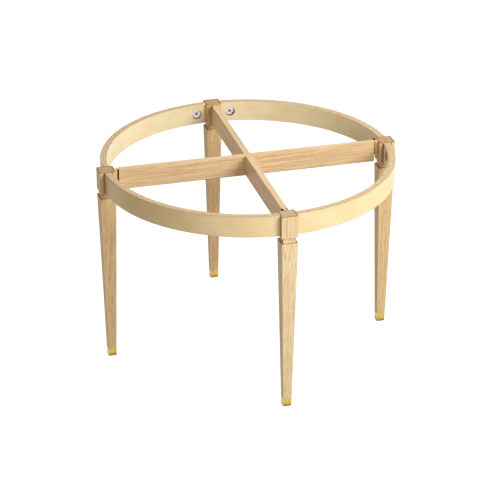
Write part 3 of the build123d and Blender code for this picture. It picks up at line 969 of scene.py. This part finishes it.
@dataclass
class ApronArc:
    """Bent laminated arc from one leg to the next, with a bored pocket near each end."""

    first: Corner
    outer: float = 514.0
    inner: float = 491.0
    top: float = 720.0
    bottom: float = 646.0
    edge: float = 0.8
    head_side: float = 28.5
    cam_distance: float = 35.0
    bore: float = 17.5
    bore_floor: float = 504.5
    rim: float = 0.5
    end_ease: float = 0.3
    patch_steps: int = 24
    seams: tuple[float, ...] = ()

    @property
    def label(self) -> str:
        """Names of the two legs that the arc joins."""
        return f"{self.first.label}_{self.first.neighbour(1).label}"

    def outline(self, inset: float) -> np.ndarray:
        """Section of the arc: a rectangle with round arrises, from the inner face's foot.

        Args:
            inset: How far the outline is drawn in all round.

        Returns:
            Points by 2 array of radius and height; the first patch_steps + 1 are the inner face.
        """
        e = self.edge
        low, high = self.bottom + e, self.top - e
        span = np.linspace(low, high, self.patch_steps + 1)
        turn = arc_steps(0, 90, 5)[1:-1]
        inner_edge, outer_edge = self.inner + e, self.outer - e
        across = np.linspace(inner_edge, outer_edge, 7)
        parts = [
            (np.full(len(span), self.inner), span),
            (inner_edge - e * np.cos(turn), high + e * np.sin(turn)),
            (across, np.full(len(across), self.top)),
            (outer_edge + e * np.sin(turn), high + e * np.cos(turn)),
            (np.full(9, self.outer), np.linspace(high, low, 9)),
            (outer_edge + e * np.cos(turn), low - e * np.sin(turn)),
            (across[::-1], np.full(len(across), self.bottom)),
            (inner_edge - e * np.sin(turn), low - e * np.cos(turn)),
        ]
        r = np.concatenate([p[0] for p in parts])
        z = np.concatenate([p[1] for p in parts])
        middle_r, middle_z = (self.inner + self.outer) / 2, (self.top + self.bottom) / 2
        r = r - inset * np.clip((r - middle_r) / 8.0, -1, 1)
        z = z - inset * np.clip((z - middle_z) / 30.0, -1, 1)
        return np.stack([r, z], axis=-1)

    def stations(self) -> tuple[np.ndarray, np.ndarray]:
        """Distances of the bored zone's stations and angles of the rest, to mid-arc.

        Returns:
            Distances from the leg's middle plane in the bored zone, and angles in radians
            of the stations beyond it.
        """
        start = self.head_side + self.end_ease
        end = 2 * (self.head_side + self.cam_distance) - start
        zone = np.linspace(start, end, self.patch_steps + 1)
        rest = np.linspace(math.asin(end / self.inner), math.pi / 4, 44)[1:]
        return zone, rest

    def half(self) -> list[Patch]:
        """Patches of the half from the first leg to mid-arc, in that leg's own frame.

        A station's angle is measured on the inner face; other points of the section share
        it, but near the end they follow the flat face that butts against the head.

        Returns:
            Grids with their closing, kept quads and nearness to an edge.
        """
        zone, rest = self.stations()
        angles = np.concatenate([np.arcsin(zone / self.inner), rest])
        section = self.outline(0.0)
        start = (self.head_side + self.end_ease) / section[:, 0]
        shift = np.arcsin(start)[None] - angles[0]
        fade = ((math.pi / 4 - angles) / (math.pi / 4 - angles[0]))[:, None]
        theta = angles[:, None] + shift * fade
        r, z = section.T
        grid = np.stack([r * np.cos(theta), r * np.sin(theta), np.broadcast_to(z, theta.shape)], axis=-1)
        keep = np.ones((len(angles) - 1, len(section)), dtype=bool)
        keep[: self.patch_steps, : self.patch_steps] = False
        near = np.zeros(len(section))
        rounded = (np.abs(section[:, 0] - (self.inner + self.outer) / 2) > 11.5 - self.edge - 0.01) & (
            np.abs(section[:, 1] - (self.top + self.bottom) / 2) > 37.0 - self.edge - 0.01
        )
        near[rounded] = 1.0
        patches = [(grid, True, keep, np.broadcast_to(near, grid.shape[:2]))]

        eased = self.outline(self.end_ease)
        flat_x = np.sqrt(eased[:, 0] ** 2 - self.head_side ** 2)
        face = np.stack([flat_x, np.full(len(eased), self.head_side), eased[:, 1]], axis=-1)
        middle_x = math.sqrt(((self.inner + self.outer) / 2) ** 2 - self.head_side ** 2)
        middle = np.array([middle_x, self.head_side, (self.top + self.bottom) / 2])
        shrink = np.array([1.0, 0.8, 0.5, 0.2, 0.0])[:, None, None]
        cap = middle + (face - middle) * shrink
        patches.append((np.concatenate([grid[:1], cap]), True, None, 0.0))
        patches.extend(self.bored_face(zone, section[: self.patch_steps + 1, 1]))
        return patches

    def bored_face(self, zone: np.ndarray, levels: np.ndarray) -> list[Patch]:
        """Inner face about the bore, and the bore itself.

        Rays from the bore's centre run from its rim to the zone's border, and the points
        along them share the rays' angle. The face's distance from the leg's cross plane
        is the root of the inner radius squared less the distance along it squared.

        Args:
            zone: Distances along the face of the border's upper and lower points.
            levels: Heights of the border's side points.

        Returns:
            The patches.
        """
        centre = np.array([self.head_side + self.cam_distance, (self.top + self.bottom) / 2])
        loop = border(zone, levels)
        ray = (loop - centre) / np.linalg.norm(loop - centre, axis=-1, keepdims=True)
        lip = centre + ray * (self.bore + self.rim)
        share = np.linspace(0.0, 1.0, 9)[:, None, None] ** 1.2
        flat = lip + (loop - lip) * share
        face = np.stack([np.sqrt(self.inner ** 2 - flat[..., 0] ** 2), flat[..., 0], flat[..., 1]], axis=-1)
        patches = [(face, True, None, np.broadcast_to(np.exp(-share[:, :, 0] * 12.0), face.shape[:2]))]
        turn = arc_steps(0, 90, 4)
        rim_radius = self.bore + self.rim - self.rim * np.sin(turn)
        rim_depth = self.rim - self.rim * np.cos(turn)
        at = centre + ray[None] * rim_radius[:, None, None]
        mouth = np.sqrt(self.inner ** 2 - (centre + ray * (self.bore + self.rim))[:, 0] ** 2)
        rim = np.stack([mouth[None] + rim_depth[:, None], at[..., 0], at[..., 1]], axis=-1)
        last = rim[-1]
        foot = np.column_stack([np.full(len(last), self.bore_floor), last[:, 1:]])
        wall = last + (foot - last) * np.linspace(0.0, 1.0, 6)[:, None, None]
        hub = np.array([self.bore_floor, *centre])
        floor = hub + (foot - hub) * np.array([1.0, 0.6, 0.0])[:, None, None]
        patches.append((rim, True, None, 1.0))
        # 2 marks the bore's wall and floor, which the laminate paints with shade
        patches.append((wall, True, None, 2.0))
        patches.append((floor, True, None, 2.0))
        return patches

    def build(self) -> None:
        """Make the two mirrored halves as one piece, dress it and seat it."""
        surface = Surface()
        for grid, closed, keep, arris in self.half():
            surface.add(quarter_turned(grid, self.first.value), closed, keep, arris)
            mirrored = grid[..., [1, 0, 2]]
            surface.add(quarter_turned(mirrored, self.first.value), closed, keep, arris)
        piece = surface.to_object(f"bent_apron_{self.label}")
        finish = LAMINATE.material(f"laminate_{self.label}", self.seams, 731.0 * (self.first.value + 1))
        seat(piece, finish, f"apron_{self.label}")


@dataclass
class CamConnector:
    """Round cam housing and its cam, set in the bore beside a leg's head."""

    corner: Corner
    side: int
    distance: float = 63.5
    height: float = 683.0
    back: float = 504.5
    front: float = 494.5
    radius: float = 17.3
    chamfer: float = 1.4
    window: float = 7.0
    chamber: float = 11.2
    chamber_depth: float = 8.8
    slot_half: float = 3.7
    slot_steps: int = 3
    points_round: int = 90

    @property
    def label(self) -> str:
        """Names of the leg and of the neighbour on the connector's side."""
        return f"{self.corner.label}_{self.corner.neighbour(self.side).label}"

    def turned(self, reach: np.ndarray, depth: np.ndarray) -> np.ndarray:
        """A section turned about the connector's axis, which points at the frame's middle.

        The first columns stand on parallel lines across the slot, at the arc sine of their
        distance over the reach, and the others share out the rest of the circle evenly.

        Args:
            reach: Distance of each section point from the axis.
            depth: Distance of each section point from the leg's cross plane.

        Returns:
            Section points by angles by 3 array, its angle 0 towards the head.
        """
        reach = np.asarray(reach, float)[:, None]
        lines = np.linspace(-1.0, 1.0, 2 * self.slot_steps + 1)[None]
        edge = np.arcsin(self.slot_half / reach)
        share = np.linspace(0.0, 1.0, self.points_round)[None, 1:-1]
        across = np.arcsin(self.slot_half * lines / reach)
        phi = np.concatenate([across, edge + (2 * math.pi - 2 * edge) * share], axis=1)
        y = self.side * (self.distance - reach * np.cos(phi))
        z = self.height + reach * np.sin(phi)
        x = np.broadcast_to(np.asarray(depth, float)[:, None], phi.shape)
        return quarter_turned(np.stack([x, y, z], axis=-1), self.corner.value)

    def housing(self) -> bpy.types.Object:
        """Cup with a bevelled rim, a shallow dished face and a window for the cam's boss.

        The section starts and ends at the back of the chamber. The bolt's slot is left out
        of its rows there, and gets a floor and two cheeks from the points beside it.

        Returns:
            The object.
        """
        f, b, r, c = self.front, self.back, self.radius, self.chamfer
        ceiling = b - self.chamber_depth
        ease = arc_steps(0, 90, 3)
        section = [
            (self.chamber, b), (r, b), (r, f + c), (r + ceiling - f - c, ceiling), (r - c, f + 0.12), (r - c - 0.25, f),
            (r - c - 1.0, f), (r - c - 1.2, f + 0.05), (r - c - 1.5, f + 0.28), (self.window + 2.0, f + 0.28),
            (self.window + 1.6, f + 0.05), (self.window + 1.4, f), (self.window + 0.35, f),
        ]
        section += [(self.window + 0.35 - 0.35 * math.sin(a), f + 0.35 - 0.35 * math.cos(a)) for a in ease[1:]]
        section += [(self.window, ceiling), (self.chamber, ceiling), (self.chamber, f + c), (self.chamber, b)]
        reach, depth = np.array(section).T
        grid = self.turned(reach, depth)
        slot = 2 * self.slot_steps
        keep = np.ones((len(grid) - 1, grid.shape[1]), dtype=bool)
        keep[[0, 1, 2, -2, -1], :slot] = False
        surface = Surface()
        bright = np.exp(-np.abs(reach - (r - c / 2)) / 1.0)
        surface.add(grid, closed=True, keep=keep, arris=bright[:, None])
        surface.add(grid[[-3, 3], : slot + 1])
        for column in (0, slot):
            surface.add(np.stack([grid[[-1, -2, -3], column], grid[[1, 2, 3], column]]))
        return surface.to_object(f"connector_housing_{self.label}", sharp=50.0)

    def build(self) -> None:
        """Make and seat the housing, and dress it and the cam with their tool rings; the cam's
        drive gets painted shade.
        """
        seed = 17.0 * self.corner.value + 5.0 * self.side
        middle = quarter_turned(np.array([self.front, self.side * self.distance, self.height]), self.corner.value)
        if self.corner.value % 2 == 0:
            lathe = ((0.0, math.pi / 2, 0.0), (-middle[2], -middle[1], middle[0]))
        else:
            lathe = ((math.pi / 2, 0.0, 0.0), (-middle[0], middle[2], -middle[1]))
        seat(self.housing(), NICKEL.material(f"nickel_{self.label}", seed, lathe), f"cam_housing_{self.label}")
        dress_solids([f"cam_{self.label}"], CAM_STEEL.material(f"cam_steel_{self.label}", seed, lathe))


def seat(piece: bpy.types.Object, finish: bpy.types.Material, node: str) -> None:
    """Dress a piece and let it stand for its solid.

    Args:
        piece: The new piece.
        finish: Its material.
        node: Name of the solid that it replaces.
    """
    piece.data.materials.append(finish)
    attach(piece, "root")
    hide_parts(node)
    LOG.info("%s stands for %s", piece.name, node)


def dress_solids(names: Iterable[str], finish: bpy.types.Material) -> None:
    """Give a material to solids that stay as they are.

    Args:
        names: Names of the solids.
        finish: The material.
    """
    for name in names:
        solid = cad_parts[name]
        solid.data.materials.clear()
        solid.data.materials.append(finish)
        LOG.info("%s dressed with %s", name, finish.name)


@dataclass
class Hardware:
    """Stretchers, bolts, dowels and screws, whose solids are shown as they are."""

    shoulder: float = 461.0
    head_inner: float = 475.5

    def dress(self) -> None:
        """Dress the stretchers, bolts, ferrule screws and dowels, whose solids stay as they are."""
        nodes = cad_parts
        left_right = STRETCHER_OAK.material(
            "oak_left_right", Grain.LEFT_RIGHT, (560.0, 130.0, 0.0), (0.0, 0.008, 0.010), (self.shoulder, self.shoulder + 4.5)
        )
        front_back = STRETCHER_OAK.material(
            "oak_front_back", Grain.FRONT_BACK, (95.0, 860.0, 0.0), (0.010, 0.0, 0.008), (self.shoulder, self.head_inner)
        )
        dress_solids(["stretcher_left_right"], left_right)
        dress_solids(["stretcher_front_back"], front_back)
        steel = CAM_STEEL.material("bolt_steel", 3.0)
        dress_solids([n for n in nodes if n.startswith("bolt_")], steel)
        dress_solids([n for n in nodes if n.startswith("ferrule_screw_")], BRASS.material("screw_brass", 8.0))
        for turn, grain in ((0, Grain.FRONT_BACK), (1, Grain.LEFT_RIGHT)):
            legs = [corner.label for corner in Corner if corner.value % 2 == turn]
            chosen = [n for n in nodes if n.startswith("dowel_") and n.split("_")[2] in legs]
            dress_solids(chosen, BEECH.material(f"beech_{turn}", grain, (90.0, 60.0, 0.0), (0.0, 0.0, 0.0)))


@dataclass(frozen=True)
class PhotoCamera:
    """Camera at the photograph's viewing angle."""

    azimuth: float = -105.13
    elevation: float = 26.06
    distance: float = 7.265
    target: tuple[float, float, float] = (0.0, 0.0, 0.360)
    focal_pixels: float = 2038.9
    frame_pixels: float = 490.0
    target_pixel: tuple[float, float] = (247.81, 247.17)
    sensor: float = 36.0

    def build(self) -> None:
        """Place the camera on the line from the target back along its viewing direction."""
        lens = bpy.data.cameras.new("photo_camera")
        lens.sensor_width = self.sensor
        lens.sensor_fit = "HORIZONTAL"
        lens.lens = self.focal_pixels / self.frame_pixels * self.sensor
        half = self.frame_pixels / 2
        lens.shift_x = (half - self.target_pixel[0]) / self.frame_pixels
        lens.shift_y = (self.target_pixel[1] - half) / self.frame_pixels
        lens.clip_end = 60.0
        camera = stand("photo_camera", lens)
        camera.matrix_world = facing(self.target, self.azimuth, self.elevation, self.distance)
        bpy.context.scene.camera = camera


@dataclass(frozen=True)
class Softbox:
    """One area light aimed at the frame."""

    name: str
    azimuth: float
    elevation: float
    power: float
    distance: float = 3.8
    size: float = 2.0
    colour: Colour = (1.0, 1.0, 1.0)

    def build(self) -> None:
        """Place the light at its direction from the frame's middle, facing it."""
        light = bpy.data.lights.new(self.name, "AREA")
        light.shape = "DISK"
        light.size = self.size
        light.energy = self.power
        light.color = self.colour
        lamp = stand(self.name, light)
        lamp.matrix_world = facing((0.0, 0.0, 0.5), self.azimuth, self.elevation, self.distance)


@dataclass
class Studio:
    """White floor and surroundings, with soft light mostly from the right front and rear."""

    floor_half: float = 9.0
    bounce: Colour = (0.30, 0.30, 0.30)
    veil: Colour = (0.60, 0.60, 0.60)
    glow: float = 0.72
    world_strength: float = 0.32
    world_colour: Colour = (1.0, 0.93, 0.82)
    lights: tuple[Softbox, ...] = (
        Softbox("key", azimuth=300.0, elevation=29.0, power=94.0),
        Softbox("rear", azimuth=20.0, elevation=45.0, power=50.0),
        Softbox("front", azimuth=262.0, elevation=12.0, power=12.0, colour=(1.0, 0.90, 0.74)),
        Softbox("back", azimuth=150.0, elevation=50.0, power=15.0, colour=(1.0, 0.94, 0.84)),
    )

    def floor(self) -> None:
        """Flat white floor that keeps the shadows and is otherwise plain white to the eye."""
        s = self.floor_half * 1000
        line = np.linspace(-s, s, 13)
        x, y = np.meshgrid(line, line)
        surface = Surface()
        surface.add(np.stack([x, y, np.zeros_like(x)], axis=-1))
        floor = surface.to_object("studio_floor")
        floor.modifiers.clear()
        ink = Ink(bpy.data.materials.new("studio_white"))
        plain = ink.shader("ShaderNodeBsdfDiffuse", Color=self.bounce)
        veil = ink.shader("ShaderNodeBsdfDiffuse", Color=self.veil)
        glow = ink.shader("ShaderNodeEmission", Strength=self.glow)
        both = ink.shader("ShaderNodeAddShader", veil, glow)
        ink.close("ShaderNodeOutputMaterial", ink.shader("ShaderNodeMixShader", ink.seen(), plain, both))
        floor.data.materials.append(ink.block)

    def surroundings(self) -> None:
        """Even white world, plain white where the camera or a mirror sees it."""
        world = bpy.data.worlds.new("studio_world")
        bpy.context.scene.world = world
        ink = Ink(world)
        dim = ink.shader("ShaderNodeBackground", self.world_colour, self.world_strength)
        white = ink.shader("ShaderNodeBackground", (1.0, 1.0, 1.0), 1.0)
        ink.close("ShaderNodeOutputWorld", ink.shader("ShaderNodeMixShader", ink.seen(), dim, white))

    def build(self) -> None:
        """Set up the floor, the surroundings, the lights and the view."""
        self.floor()
        self.surroundings()
        for light in self.lights:
            light.build()
        bpy.context.scene.view_settings.view_transform = "Standard"


SEAMS = {"back_left": (176.0,), "front_right": (-9.0,)}


def main() -> None:
    """Build every sub-assembly in order, then the studio."""
    logging.basicConfig(level=logging.INFO, format="%(message)s", stream=sys.stdout)
    PhotoCamera().build()
    for corner in Corner:
        Leg(corner).build()
    for corner in Corner:
        arc = ApronArc(corner)
        arc.seams = SEAMS.get(arc.label, ())
        arc.build()
    for corner in Corner:
        for side in (1, -1):
            CamConnector(corner, side).build()
    Hardware().dress()
    Studio().build()


if __name__ == "__main__":
    main()
